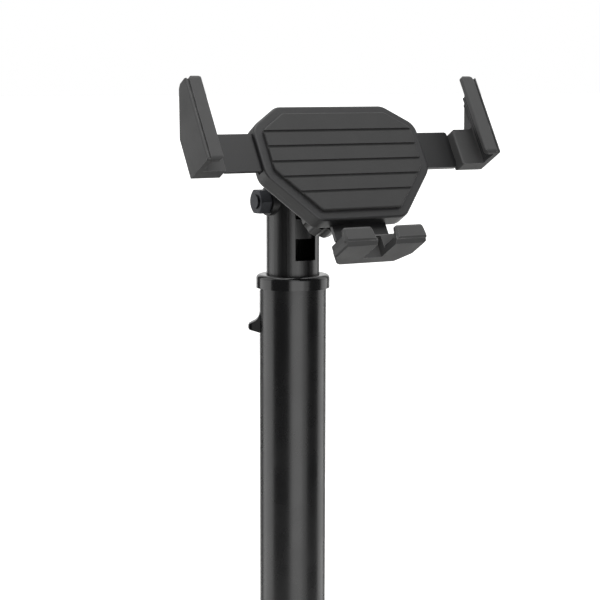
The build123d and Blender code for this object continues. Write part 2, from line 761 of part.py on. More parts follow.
def side_jaw(pocket_front):
    """The right jaw, with its pocket for a strip whose front is at the given height."""
    hook = [
        (lip_in, lip_back),
        (jaw_wall_in, lip_back),
        (jaw_wall_in, foot_face),
        (jaw_foot_in, foot_face),
        (jaw_foot_in, jaw_back),
        (jaw_out, jaw_back),
        (jaw_out, lip_front),
        (lip_in, lip_front),
    ]
    rounds = [lip_tip / 2, jaw_edge / 2, jaw_edge / 2, lip_tip, jaw_edge, jaw_edge, jaw_corner, lip_tip]
    jaw = along_y(closed(hook, rounds), jaw_low, jaw_high)
    side = [
        (jaw_low, lip_front),
        (jaw_low, jaw_back),
        (foot_high, jaw_back),
        (slope_top, slope_top_back),
        (jaw_high, lip_back),
        (jaw_high, lip_front),
    ]
    side_rounds = [jaw_end_front, jaw_end_back, slope_round, slope_top_round, 0, jaw_end_front]
    jaw = jaw & along_x(closed(side, side_rounds), jaw_foot_in - cut_overrun, jaw_out + cut_overrun)
    under_lip = [
        (lip_in, jaw_low),
        (jaw_out + cut_overrun, jaw_low),
        (jaw_out + cut_overrun, wall_high),
        (lip_in, wall_high),
    ]
    lip_panel = [(lip_in, jaw_low), (lip_out, jaw_low), (lip_out, jaw_high), (lip_in, jaw_high)]
    panel_rounds = [lip_corner, lip_outer_corner, lip_top_corner, lip_corner]
    lip_mask = along_z(closed(under_lip, [lip_corner, 0, 0, 0]), foot_face, lip_floor)
    lip_mask += along_z(closed(lip_panel, panel_rounds), lip_back, lip_front)
    lip_mask += block(
        (lip_out + groove_in_lip, jaw_low, foot_face), (jaw_out + cut_overrun, wall_high, lip_front)
    )
    foot_outline = [
        (jaw_foot_in, jaw_low),
        (jaw_out + cut_overrun, jaw_low),
        (jaw_out + cut_overrun, wall_high),
        (jaw_wall_in, wall_high),
        (jaw_wall_in, foot_high),
        (jaw_foot_in, foot_high),
    ]
    foot_rounds = [jaw_edge, 0, 0, 0, lip_corner, jaw_edge]
    foot_mask = along_z(closed(foot_outline, foot_rounds), jaw_back, foot_face)
    jaw = jaw & (lip_mask + foot_mask)
    pocket_low = -tang_width / 2 - slide_fit
    jaw -= block(
        (jaw_foot_in - cut_overrun, pocket_low, pocket_front - strip_thickness - slide_fit / 2),
        (tang_out + slide_fit, -pocket_low, pocket_front + slide_fit / 2),
    )
    for side_sign in (-1, 1):
        screw_place = Pos(jaw_screw_x, side_sign * jaw_screw_y, 0)
        jaw -= screw_place * rod(jaw_screw_radius + press_fit, jaw_back, jaw_screw_top)
        jaw -= screw_place * rod(jaw_head_radius, jaw_back, jaw_back + jaw_head_sink)
    return jaw


right_jaw = side_jaw(right_front)
left_jaw = mirror(side_jaw(left_front), Plane.YZ)
save("right_jaw", *in_holder(right_jaw))
save("left_jaw", *in_holder(left_jaw))


def jaw_screw(seat):
    """A pan head screw that enters a jaw's foot from behind, its head on a seat."""
    screw = rod(jaw_head_radius - slide_fit, seat - jaw_head_height, seat)
    screw = fillet(screw.edges().group_by(Axis.Z)[0], jaw_head_height / 3)
    return screw + rod(jaw_screw_radius, seat, jaw_screw_top - slide_fit)


side_screw = jaw_screw(jaw_back + jaw_head_sink)
right_screws = [Pos(jaw_screw_x, side * jaw_screw_y, 0) * side_screw for side in (-1, 1)]
left_screws = [Pos(-jaw_screw_x, side * jaw_screw_y, 0) * side_screw for side in (-1, 1)]
save("right_jaw_screws", *in_holder(*right_screws))
save("left_jaw_screws", *in_holder(*left_screws))

# Side liners: thin rubber strips inside the hooks
liner_low_inset = 1.5
liner_high_inset = 4.5
side_liner = block(
    (jaw_wall_in - jaw_liner, jaw_low + liner_low_inset, 0),
    (jaw_wall_in, slope_top - liner_high_inset, lip_back - jaw_edge),
)
save("right_jaw_pad", *in_holder(side_liner))
save("left_jaw_pad", *in_holder(mirror(side_liner, Plane.YZ)))

# Bottom arm: a forked strip that passes either side of the turning joint's bolt
fork_half = bottom_strip_width / 2
bottom_tang = 27.0
bottom_tang_length = 9.0
bottom_foot_rise = 7.5
bottom_foot_top = -tablet_drop + bottom_foot_rise
bottom_tang_end = bottom_foot_top - bottom_tang_length
prong_tip = 14.0
fork_head_gap = 0.6
fork_slot_half = spin_head_radius + fork_head_gap
fork_slot_end = -bottom_reach_up - fork_slot_half - face_gap
bottom_corners = [
    (-fork_half, prong_tip),
    (-fork_half, bottom_foot_top + face_gap),
    (-bottom_tang / 2, bottom_foot_top + face_gap),
    (-bottom_tang / 2, bottom_tang_end),
    (bottom_tang / 2, bottom_tang_end),
    (bottom_tang / 2, bottom_foot_top + face_gap),
    (fork_half, bottom_foot_top + face_gap),
    (fork_half, prong_tip),
    (fork_slot_half, prong_tip),
    (fork_slot_half, fork_slot_end),
    (-fork_slot_half, fork_slot_end),
    (-fork_slot_half, prong_tip),
]
fork_rounds = [strip_round, strip_round, 0, strip_round, strip_round, 0, strip_round, strip_round]
fork_rounds += [strip_round, fork_slot_half / 2, fork_slot_half / 2, strip_round]
bottom_face = closed(bottom_corners, fork_rounds)
bottom_screw_x = 10.2
bottom_screw_y = bottom_foot_top - bottom_tang_length / 2
for side in (-1, 1):
    bottom_face -= Pos(side * bottom_screw_x, bottom_screw_y) * Circle(jaw_screw_radius + slide_fit)
save("bottom_arm", *in_holder(along_z(bottom_face, bottom_back, bottom_front)))

# Bottom jaw: a shelf with cut rear corners, a gap for a plug and two bevelled lips
shelf_half = 24.8
shelf_rear_half = 18.0
shelf_thickness = 3.9
shelf_liner = 0.6
shelf_top = -tablet_drop - shelf_liner
shelf_bottom = -tablet_drop - shelf_thickness
shelf_back = -13.0
shelf_corner_back = -3.6
bottom_seat = shelf_back + jaw_head_sink
shelf_front_step = 0.8
shelf_front = lip_front - shelf_front_step
plug_gap_half = 5.8
plug_gap_back = -5.8
lip_rise = 6.2
lip_skirt = 2.0
lip_base_in = 5.8
lip_base_out = 25.6
lip_top_in = 7.4
lip_top_out = 24.8
lip_round = 1.6
lip_bevel = 1.2
lip_top = -tablet_drop + lip_rise
lip_bottom = -tablet_drop - lip_skirt
shelf_points = [
    (-shelf_half, shelf_front),
    (-shelf_half, shelf_corner_back),
    (-shelf_rear_half, shelf_back),
    (shelf_rear_half, shelf_back),
    (shelf_half, shelf_corner_back),
    (shelf_half, shelf_front),
]
shelf_rounds = [jaw_edge, lip_corner, lip_corner, lip_corner, lip_corner, jaw_edge]
shelf = along_y(closed(shelf_points, shelf_rounds), shelf_bottom, shelf_top)
under_edges = shelf.edges().group_by(Axis.Y)[0]
shelf = chamfer(under_edges, shelf_front_step)
shelf_slope = [
    (lip_bottom, shelf_front),
    (shelf_bottom, shelf_front - lip_bottom + shelf_bottom),
    (shelf_bottom - cut_overrun, shelf_front - lip_bottom + shelf_bottom),
    (shelf_bottom - cut_overrun, shelf_front + cut_overrun),
    (lip_bottom, shelf_front + cut_overrun),
]
shelf -= along_x(closed(shelf_slope), -shelf_half, shelf_half)
foot_block = block((-shelf_rear_half, shelf_top, shelf_back), (shelf_rear_half, bottom_foot_top, foot_face))
foot_block = fillet(foot_block.edges().group_by(Axis.Y)[-1], jaw_edge)
bottom_jaw = shelf + foot_block


def front_lip(side):
    """One of the two bevelled lips at the shelf's front."""
    points = [
        (side * lip_base_in, lip_bottom),
        (side * lip_base_out, lip_bottom),
        (side * lip_base_out, lip_bottom + lip_skirt + lip_skirt / 2),
        (side * lip_top_out, lip_top),
        (side * lip_top_in, lip_top),
    ]
    lip = along_z(closed(points, [0, lip_round, 0, lip_round, lip_round]), lip_back, lip_front)
    return chamfer(lip.edges().group_by(Axis.Z)[-1], lip_bevel)


bottom_jaw += front_lip(1)
bottom_jaw += front_lip(-1)
bottom_jaw -= block(
    (-plug_gap_half, shelf_bottom - cut_overrun, plug_gap_back), (plug_gap_half, lip_top, lip_front)
)
bottom_jaw -= block(
    (-bottom_tang / 2 - slide_fit, bottom_tang_end - slide_fit, bottom_back - slide_fit / 2),
    (bottom_tang / 2 + slide_fit, bottom_foot_top + cut_overrun, bottom_front + slide_fit / 2),
)
for side in (-1, 1):
    place = Pos(side * bottom_screw_x, bottom_screw_y, 0)
    bottom_jaw -= place * rod(jaw_screw_radius + press_fit, shelf_back, jaw_screw_top)
    bottom_jaw -= place * rod(jaw_head_radius, shelf_back, bottom_seat)
save("bottom_jaw", *in_holder(bottom_jaw))
foot_screw = jaw_screw(bottom_seat)
bottom_screws = [Pos(side * bottom_screw_x, bottom_screw_y, 0) * foot_screw for side in (-1, 1)]
save("bottom_jaw_screws", *in_holder(*bottom_screws))

# Shelf liners: two rubber pads that the tablet's lower edge stands on
shelf_pad = block(
    (plug_gap_half + face_gap, shelf_top, foot_face + face_gap),
    (shelf_half - lip_round, -tablet_drop, lip_back - face_gap),
)
save("bottom_jaw_pads", *in_holder(shelf_pad, mirror(shelf_pad, Plane.YZ)))

# Housing outline: an octagon with rounded corners round the strips and the fork
house_half = 52.0
house_side = 14.0
house_top = 26.0
house_top_half = 34.0
house_bottom = -42.0
house_bottom_half = 27.0
house_round = 9.0
shell_wall = 2.0
split_drop = 1.8
split_z = left_back - split_drop


def housing(inset):
    """The housing's outline, drawn in by a distance."""
    points = [
        (house_half, -house_side),
        (house_half, house_side),
        (house_top_half, house_top),
        (-house_top_half, house_top),
        (-house_half, house_side),
        (-house_half, -house_side),
        (-house_bottom_half, house_bottom),
        (house_bottom_half, house_bottom),
    ]
    face = closed(points, house_round)
    return offset(face, -inset) if inset else face


# Rear shell: a moulded tray with guide ribs, screw posts and a boss for each knob
shell_edge = 3.0
post_radius = 3.4
post_x = 27.0
post_y = 19.0
shell_screw_radius = 1.25
shell_head_radius = 2.5
shell_head_sink = 1.4
guide_rib = 1.6
exit_gap = 0.4
side_knob_x = 35.0
bottom_knob_x = -(fork_slot_half + fork_half) / 2
bottom_knob_y = -31.0
boss_radius = 5.5
boss_height = 3.0
insert_radius = 4.0
stud_radius = 2.5
post_places = [(x, y) for x in (-post_x, post_x) for y in (-post_y, post_y)]
knob_places = [(side_knob_x, 0), (bottom_knob_x, bottom_knob_y)]

rear_shell = along_z(housing(0), shell_back, split_z)
rear_shell = fillet(rear_shell.edges().group_by(Axis.Z)[0], shell_edge)
rear_shell -= along_z(housing(shell_wall), shell_inner, split_z)
strip_guide = strip_half + exit_gap / 2
fork_guide = fork_half + exit_gap / 2
for side in (-1, 1):
    fork_rib_low = min(side * fork_guide, side * (fork_guide + guide_rib))
    rear_shell += block(
        (fork_rib_low, house_bottom + shell_wall, shell_inner),
        (fork_rib_low + guide_rib, post_y, bottom_front + slide_fit),
    )
    for end in (-1, 1):
        rib_y = min(side * strip_guide, side * (strip_guide + guide_rib))
        near = fork_guide + guide_rib
        far = house_half - shell_wall
        rib_x = near if end > 0 else -far
        rear_shell += block(
            (rib_x, rib_y, shell_inner), (rib_x + far - near, rib_y + guide_rib, split_z)
        )
for x, y in post_places:
    rear_shell += Pos(x, y, 0) * rod(post_radius, shell_inner, split_z)
for x, y in knob_places:
    rear_shell += Pos(x, y, 0) * rod(boss_radius, shell_back - boss_height, shell_back)
    rear_shell -= Pos(x, y, 0) * rod(insert_radius + press_fit, shell_back - boss_height, shell_inner)
for x, y in post_places:
    rear_shell -= Pos(x, y, 0) * rod(shell_screw_radius + slide_fit, shell_back, split_z)
    rear_shell -= Pos(x, y, 0) * rod(shell_head_radius, shell_back, shell_back + shell_head_sink)
rear_shell -= rod(shoulder_radius + shaft_fit, shell_back, shell_inner)
side_exit = block(
    (-house_half - cut_overrun, -strip_guide, right_back - exit_gap / 2),
    (house_half + cut_overrun, strip_guide, left_front + exit_gap / 2),
)
bottom_exit = block(
    (-fork_guide, house_bottom - cut_overrun, shell_inner),
    (fork_guide, house_bottom + shell_wall + face_gap, bottom_front + slide_fit),
)
rear_shell = rear_shell - side_exit - bottom_exit
save("rear_shell", *in_holder(rear_shell))

# Front cover: a shallow lid with a recess for the pad and the axle for the pinion
cover_edge = 1.2
pad_margin = 5.0
pad_recess = 0.8
front_cover = along_z(housing(0), split_z, cover_face)
front_cover = fillet(front_cover.edges().group_by(Axis.Z)[-1], cover_edge)
front_cover -= along_z(housing(shell_wall), split_z, cover_inner)
front_cover -= along_z(housing(pad_margin), cover_face - pad_recess, cover_face)
for x, y in post_places:
    front_cover += Pos(x, y, 0) * rod(post_radius, split_z, cover_inner)
    front_cover -= Pos(x, y, 0) * rod(shell_screw_radius + press_fit, split_z, cover_inner)
front_cover += rod(axle_radius, pinion_back + face_gap, cover_inner)
front_cover -= side_exit
save("front_cover", *in_holder(front_cover))

# Back pad: a soft rubber pad with grooves, glued in the cover's recess
groove_count = 5
groove_width = 1.6
groove_depth = 0.9
groove_pitch = 9.0
pad_edge = 0.8
back_pad = along_z(housing(pad_margin + liner_slack), cover_face - pad_recess, 0)
back_pad = fillet(back_pad.edges().group_by(Axis.Z)[-1], pad_edge)
groove_middle = (house_top + house_bottom) / 2
for groove in range(groove_count):
    y = groove_middle + (groove - (groove_count - 1) / 2) * groove_pitch
    back_pad -= block(
        (-house_half, y - groove_width / 2, -groove_depth), (house_half, y + groove_width / 2, cut_overrun)
    )
save("back_pad", *in_holder(back_pad))

# Shell screws: four from behind, into the cover's posts
shell_screws = []
for x, y in post_places:
    screw = rod(shell_head_radius - slide_fit, shell_back + face_gap, shell_back + shell_head_sink)
    screw += rod(shell_screw_radius, shell_back + shell_head_sink, cover_inner - face_gap)
    shell_screws.append(Pos(x, y, 0) * screw)
save("shell_screws", *in_holder(*shell_screws))

# Knob inserts: threaded brass bushes in the shell's two bosses
inserts = []
for x, y in knob_places:
    bush = rod(insert_radius, shell_back - boss_height, shell_inner)
    bush -= rod(stud_radius + shaft_fit, shell_back - boss_height, shell_inner)
    inserts.append(Pos(x, y, 0) * bush)
save("knob_inserts", *in_holder(*inserts))

# Side clamp plate: spreads the side knob's grip across the arm's slot
plate_half = 5.5
plate_inset = 1.0
plate_high = strip_half - plate_inset
clamp_plate = block(
    (side_knob_x - plate_half, -plate_high, bottom_back + slide_fit),
    (side_knob_x + plate_half, plate_high, bottom_front),
)
save("side_clamp_plate", *in_holder(clamp_plate))

# Lock knobs: fluted grips, each on a steel stud that reaches through its insert
knob_radius = 10.5
knob_height = 9.5
knob_gap = 0.8
knob_round = 2.2
flute_count = 7
flute_radius = 3.4
flute_offset = 1.7
flute_out = knob_radius + flute_offset
stud_in_knob = 6.5
stud_tip_gap = 0.05
knob_front = shell_back - boss_height - knob_gap
knob_back = knob_front - knob_height
knob = rod(knob_radius, knob_back, knob_front)
knob = fillet(knob.edges().group_by(Axis.Z)[0], knob_round)
for flute in PolarLocations(flute_out, flute_count):
    knob -= flute * rod(flute_radius, knob_back - cut_overrun, knob_front + cut_overrun)
knob -= rod(stud_radius + press_fit, knob_front - stud_in_knob, knob_front)
side_stud = rod(stud_radius, knob_front - stud_in_knob, bottom_back + slide_fit - stud_tip_gap)
bottom_stud = rod(stud_radius, knob_front - stud_in_knob, bottom_back - stud_tip_gap)
side_place = Pos(side_knob_x, 0, 0)
bottom_place = Pos(bottom_knob_x, bottom_knob_y, 0)
save("side_lock_knob", *in_holder(side_place * knob))
save("side_lock_stud", *in_holder(side_place * side_stud))
save("bottom_lock_knob", *in_holder(bottom_place * knob))
save("bottom_lock_stud", *in_holder(bottom_place * bottom_stud))
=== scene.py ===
import math

import bmesh
import bpy
from mathutils import Matrix, Vector


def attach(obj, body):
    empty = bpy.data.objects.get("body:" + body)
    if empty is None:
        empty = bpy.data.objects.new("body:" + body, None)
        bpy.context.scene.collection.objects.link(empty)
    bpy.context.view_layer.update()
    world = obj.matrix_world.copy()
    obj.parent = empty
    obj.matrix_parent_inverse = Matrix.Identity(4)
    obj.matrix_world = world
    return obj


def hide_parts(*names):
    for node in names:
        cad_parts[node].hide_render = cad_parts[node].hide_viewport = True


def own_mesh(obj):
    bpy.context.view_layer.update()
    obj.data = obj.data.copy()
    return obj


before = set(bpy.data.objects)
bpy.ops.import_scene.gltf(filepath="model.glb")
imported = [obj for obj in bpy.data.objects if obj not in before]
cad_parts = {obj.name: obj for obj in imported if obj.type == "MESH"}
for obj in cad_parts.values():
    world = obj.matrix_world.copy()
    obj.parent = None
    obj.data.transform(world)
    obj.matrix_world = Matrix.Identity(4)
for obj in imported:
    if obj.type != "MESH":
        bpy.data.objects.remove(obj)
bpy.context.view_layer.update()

# Base plate
# A 300 mm round of 8 mm steel plate, its rim turned to a soft edge and its underside
# counterbored for the post bolt. It is powder-coated black and baked, so the coat
# keeps a faint orange peel and a satin gloss.
mm = 0.001
coat_haze = 22 * mm
coat_rub_width, coat_rub_patches = 0.5 * mm, 9 * mm
coat_polish, coat_dulling = 0.03, 0.05
noise_low, noise_high = 0.3, 0.7
# A colour mix numbers its sockets: its share, its two colours and what comes out
mix_share, mix_first, mix_second, mix_out = 0, 6, 7, 2


def linear(hex_colour):
    """The linear colour of an sRGB hex value."""
    parts = [int(hex_colour[i : i + 2], 16) / 255 for i in (1, 3, 5)]
    return [p / 12.92 if p <= 0.04045 else ((p + 0.055) / 1.055) ** 2.4 for p in parts] + [1.0]


def add_node(material, kind, settings=None, links=None):
    """Add one shader node, with its settings and with what feeds its sockets."""
    made = material.node_tree.nodes.new(kind)
    for key, value in (settings or {}).items():
        if isinstance(key, str) and hasattr(made, key):
            setattr(made, key, value)
        else:
            made.inputs[key].default_value = value
    for key, source in (links or {}).items():
        material.node_tree.links.new(source, made.inputs[key])
    return made


def empty_material(name):
    """A new material with nothing in it yet."""
    material = bpy.data.materials.new(name)
    material.use_nodes = True
    material.node_tree.nodes.clear()
    return material


def rubbed_and_highlit_edges(material, width, patches):
    """How far each point of an edge is paled, 0 to 1, in patches of a given size: rubbed wear on
    coated metal, and on mouldings rubbed wear with a painted highlight.
    """
    place = add_node(material, "ShaderNodeTexCoord").outputs["Object"]
    rounded = add_node(material, "ShaderNodeBevel", {"samples": 4, "Radius": width})
    surface = add_node(material, "ShaderNodeNewGeometry")
    bend = add_node(
        material,
        "ShaderNodeVectorMath",
        {"operation": "DOT_PRODUCT"},
        {0: rounded.outputs["Normal"], 1: surface.outputs["Normal"]},
    )
    edge = add_node(
        material,
        "ShaderNodeMapRange",
        {"From Min": 0.99, "From Max": 0.82, "To Min": 0.0, "To Max": 1.0},
        {"Value": bend.outputs["Value"]},
    )
    patch = add_node(
        material, "ShaderNodeTexNoise", {"Scale": 1 / patches, "Detail": 4.0}, {"Vector": place}
    )
    worn_and_lit = add_node(
        material,
        "ShaderNodeMapRange",
        {"From Min": 0.42, "From Max": 0.62, "To Min": 0.1, "To Max": 1.0},
        {"Value": patch.outputs["Fac"]},
    )
    return add_node(
        material,
        "ShaderNodeMath",
        {"operation": "MULTIPLY"},
        {0: edge.outputs["Result"], 1: worn_and_lit.outputs["Result"]},
    ).outputs["Value"]


def coated_steel(name, black, rubbed, roughness, peel, peel_height):
    """Powder coat baked on steel: a satin black whose gloss wavers with its orange peel."""
    material = empty_material(name)
    place = add_node(material, "ShaderNodeTexCoord").outputs["Object"]
    skin = add_node(
        material, "ShaderNodeTexNoise", {"Scale": 1 / peel, "Detail": 1.5}, {"Vector": place}
    )
    haze = add_node(
        material, "ShaderNodeTexNoise", {"Scale": 1 / coat_haze, "Detail": 5.0}, {"Vector": place}
    )
    gloss = add_node(
        material,
        "ShaderNodeMapRange",
        {
            "From Min": noise_low,
            "From Max": noise_high,
            "To Min": roughness - coat_polish,
            "To Max": roughness + coat_dulling,
        },
        {"Value": haze.outputs["Fac"]},
    )
    colour = add_node(
        material,
        "ShaderNodeMix",
        {"data_type": "RGBA", mix_first: linear(black), mix_second: linear(rubbed)},
        {mix_share: rubbed_and_highlit_edges(material, coat_rub_width, coat_rub_patches)},
    )
    bump = add_node(
        material,
        "ShaderNodeBump",
        {"Strength": 1.0, "Distance": peel_height},
        {"Height": skin.outputs["Fac"]},
    )
    coat = add_node(
        material,
        "ShaderNodeBsdfPrincipled",
        {"Metallic": 0.0, "IOR": 1.5},
        {
            "Base Color": colour.outputs[mix_out],
            "Roughness": gloss.outputs["Result"],
            "Normal": bump.outputs["Normal"],
        },
    )
    add_node(material, "ShaderNodeOutputMaterial", None, {"Surface": coat.outputs["BSDF"]})
    return material


def dress(material, *nodes):
    """Give CAD nodes their finish."""
    for node in nodes:
        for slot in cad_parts[node].material_slots:
            slot.material = material


# Powder-coated steel: satin black, a little lighter where the rim has been knocked
base_coat = coated_steel(
    "powder_coated_steel",
    black="#161617",
    rubbed="#3a3a3c",
    roughness=0.36,
    peel=1.8 * mm,
    peel_height=0.012 * mm,
)
dress(base_coat, "base_plate")

# Rubber feet
# Six round pads of black rubber, moulded in a spark-eroded tool and glued in pockets
# under the plate.
rubber_bloom = 14 * mm
bloom_gain, bloom_haze = 1.6, 0.004
rubber_grain_height = 0.04 * mm


def moulded_rubber(name, black, roughness, grain):
    """Moulded rubber: dull and soft-edged, with a fine grain and a grey bloom in patches."""
    material = empty_material(name)
    place = add_node(material, "ShaderNodeTexCoord").outputs["Object"]
    pits = add_node(
        material,
        "ShaderNodeTexNoise",
        {"Scale": 1 / grain, "Detail": 3.0, "Roughness": 0.6},
        {"Vector": place},
    )
    bloom = add_node(
        material,
        "ShaderNodeTexNoise",
        {"Scale": 1 / rubber_bloom, "Detail": 4.0},
        {"Vector": place},
    )
    bloomed = [part * bloom_gain + bloom_haze for part in linear(black)[:3]] + [1.0]
    colour = add_node(
        material,
        "ShaderNodeMix",
        {"data_type": "RGBA", mix_first: linear(black), mix_second: bloomed},
        {mix_share: bloom.outputs["Fac"]},
    )
    bump = add_node(
        material,
        "ShaderNodeBump",
        {"Strength": 1.0, "Distance": rubber_grain_height},
        {"Height": pits.outputs["Fac"]},
    )
    rubber = add_node(
        material,
        "ShaderNodeBsdfPrincipled",
        {"IOR": 1.52, "Roughness": roughness, "Sheen Weight": 0.06, "Sheen Roughness": 0.5},
        {"Base Color": colour.outputs[mix_out], "Normal": bump.outputs["Normal"]},
    )
    add_node(material, "ShaderNodeOutputMaterial", None, {"Surface": rubber.outputs["BSDF"]})
    return material


# Black rubber: dull, with moulded grain drawn at 0.6 mm, coarser than the real 0.1 mm
foot_rubber = moulded_rubber("black_rubber", black="#1d1d1e", roughness=0.72, grain=0.6 * mm)
dress(foot_rubber, "rubber_feet")

# Foot plug, post bolt, washer and locating pin
# Steel turned from bar and zinc plated. The plug is pressed into the pole, and the
# bolt comes up from below and pulls it down on the plate.
tool_mark, tool_mark_height = 0.5 * mm, 0.008 * mm
metal_film = 6 * mm
film_share = 0.72
metal_polish, metal_dulling = 0.08, 0.1


def plated_metal(name, metal, roughness, grain_stretch):
    """Turned and plated metal: bright, with fine tool marks and a soft cloudy film."""
    material = empty_material(name)
    place = add_node(material, "ShaderNodeTexCoord").outputs["Object"]
    along = add_node(material, "ShaderNodeMapping", {"Scale": grain_stretch}, {"Vector": place})
    marks = add_node(
        material,
        "ShaderNodeTexNoise",
        {"Scale": 1 / tool_mark, "Detail": 2.0},
        {"Vector": along.outputs["Vector"]},
    )
    film = add_node(
        material, "ShaderNodeTexNoise", {"Scale": 1 / metal_film, "Detail": 4.0}, {"Vector": place}
    )
    clouded = [part * film_share for part in linear(metal)[:3]] + [1.0]
    colour = add_node(
        material,
        "ShaderNodeMix",
        {"data_type": "RGBA", mix_first: linear(metal), mix_second: clouded},
        {mix_share: film.outputs["Fac"]},
    )
    gloss = add_node(
        material,
        "ShaderNodeMapRange",
        {
            "From Min": noise_low,
            "From Max": noise_high,
            "To Min": roughness - metal_polish,
            "To Max": roughness + metal_dulling,
        },
        {"Value": marks.outputs["Fac"]},
    )
    bump = add_node(
        material,
        "ShaderNodeBump",
        {"Strength": 1.0, "Distance": tool_mark_height},
        {"Height": marks.outputs["Fac"]},
    )
    plate = add_node(
        material,
        "ShaderNodeBsdfPrincipled",
        {"Metallic": 1.0},
        {
            "Base Color": colour.outputs[mix_out],
            "Roughness": gloss.outputs["Result"],
            "Normal": bump.outputs["Normal"],
        },
    )
    add_node(material, "ShaderNodeOutputMaterial", None, {"Surface": plate.outputs["BSDF"]})
    return material


# Zinc-plated steel: pale blue-grey metal with turning marks round its axis
zinc_plate = plated_metal(
    "zinc_plated_steel", metal="#b9bcc0", roughness=0.34, grain_stretch=(1.0, 1.0, 4.0)
)
dress(zinc_plate, "foot_plug", "post_bolt", "post_washer", "foot_locating_pin")

# Foot trim ring
# A flared ring moulded in black ABS, slid down the pole to hide the joint with the
# plate. Its tool was polished less than a knob's, so it is a dull satin.
flow_mark = 18 * mm
flow_gloss = 0.05
handled_gain = 1.12
mould_rub_and_highlight_width, mould_rub_and_highlight_patches = 0.4 * mm, 7 * mm


def moulded_plastic(name, tone, edge_wear_and_highlight_tone, roughness, grain, grain_height, gloss_level=0.5):
    """Moulded plastic: even colour, an eroded grain from its tool and paler edges, partly rubbed
    wear and partly a painted highlight.
    """
    material = empty_material(name)
    place = add_node(material, "ShaderNodeTexCoord").outputs["Object"]
    pits = add_node(
        material,
        "ShaderNodeTexNoise",
        {"Scale": 1 / grain, "Detail": 3.0, "Roughness": 0.65},
        {"Vector": place},
    )
    flow = add_node(
        material, "ShaderNodeTexNoise", {"Scale": 1 / flow_mark, "Detail": 3.0}, {"Vector": place}
    )
    handled = [part * handled_gain for part in linear(tone)[:3]] + [1.0]
    body = add_node(
        material,
        "ShaderNodeMix",
        {"data_type": "RGBA", mix_first: linear(tone), mix_second: handled},
        {mix_share: flow.outputs["Fac"]},
    )
    # The edge mask pales the edges: rubbed wear, with a painted highlight along them
    colour = add_node(
        material,
        "ShaderNodeMix",
        {"data_type": "RGBA", mix_second: linear(edge_wear_and_highlight_tone)},
        {
            mix_share: rubbed_and_highlit_edges(material, mould_rub_and_highlight_width, mould_rub_and_highlight_patches),
            mix_first: body.outputs[mix_out],
        },
    )
    gloss = add_node(
        material,
        "ShaderNodeMapRange",
        {
            "From Min": noise_low,
            "From Max": noise_high,
            "To Min": roughness + flow_gloss,
            "To Max": roughness - flow_gloss,
        },
        {"Value": flow.outputs["Fac"]},
    )
    bump = add_node(
        material,
        "ShaderNodeBump",
        {"Strength": 1.0, "Distance": grain_height},
        {"Height": pits.outputs["Fac"]},
    )
    plastic = add_node(
        material,
        "ShaderNodeBsdfPrincipled",
        {"IOR": 1.49, "Specular IOR Level": gloss_level},
        {
            "Base Color": colour.outputs[mix_out],
            "Roughness": gloss.outputs["Result"],
            "Normal": bump.outputs["Normal"],
        },
    )
    add_node(material, "ShaderNodeOutputMaterial", None, {"Surface": plastic.outputs["BSDF"]})
    return material


# Satin ABS: smooth black with a slight grain, drawn at 0.5 mm so that it shows
trim_abs = moulded_plastic(
    "satin_abs",
    tone="#1a1a1b",
    edge_wear_and_highlight_tone="#39393a",
    roughness=0.42,
    grain=0.5 * mm,
    grain_height=0.012 * mm,
)
dress(trim_abs, "foot_trim_ring")

# Outer tube
# Drawn steel tube, 38 mm across with a 2 mm wall, slotted at its top for the lever.
# It is stove-enamelled, smoother and glossier than the plate, so that long streaks of
# light stand in it.

# Stove enamel on steel: semi-gloss black with a long, shallow orange peel
tube_enamel = coated_steel(
    "stove_enamelled_steel",
    black="#0f0f10",
    rubbed="#2c2c2e",
    roughness=0.27,
    peel=2.6 * mm,
    peel_height=0.004 * mm,
)
dress(tube_enamel, "outer_tube")

# Guide collar and its screws
# One moulding in black acetal: a cap on the tube's end, a long guide sleeve and the
# cheeks of the lever. Two cross-head screws at the back go through the tube into it.
tube_radius = 19.0 * mm
collar_screw_turns = (30.0, 90.0)
collar_screw_z = 655.0 * mm
collar_screw_sink = 0.8 * mm
thread_pitch, thread_depth = 0.9 * mm, 0.16 * mm
thread_rows, thread_steepness = 6, 2.2
screw_tip_share = 0.55
screw_sides, dome_steps = 40, 6
recess_long_share, recess_wide_share = 0.58, 0.15
recess_foot_share, recess_mouth_share = 0.45, 1.1
recess_least_share = 0.6
recess_overrun = 0.4 * mm

# Polished acetal: near black and waxy, so its rim takes a clear highlight
collar_acetal = moulded_plastic(
    "polished_acetal",
    tone="#121213",
    edge_wear_and_highlight_tone="#3c3c3e",
    roughness=0.17,
    grain=0.8 * mm,
    grain_height=0.002 * mm,
)
dress(collar_acetal, "guide_collar")


def mesh_object(name, mesh, smooth_angle=35.0):
    """An object for a finished mesh, shaded smooth except across sharp edges."""
    made = bpy.data.objects.new(name, mesh)
    bpy.context.scene.collection.objects.link(made)
    mesh.shade_smooth()
    mesh.set_sharp_from_angle(angle=math.radians(smooth_angle))
    return made


def ringed_mesh(name, rings, closed_ends=True):
    """A mesh from rings of points, joined one to the next, its end rings filled or joined."""
    work = bmesh.new()
    made = [[work.verts.new(point) for point in ring] for ring in rings]
    pairs = list(zip(made, made[1:]))
    if not closed_ends:
        pairs.append((made[-1], made[0]))
    for low, high in pairs:
        for i in range(len(low)):
            j = (i + 1) % len(low)
            work.faces.new((low[i], low[j], high[j], high[i]))
    if closed_ends:
        work.faces.new(made[0][::-1])
        work.faces.new(made[-1])
    bmesh.ops.recalc_face_normals(work, faces=work.faces)
    mesh = bpy.data.meshes.new(name)
    work.to_mesh(mesh)
    work.free()
    return mesh


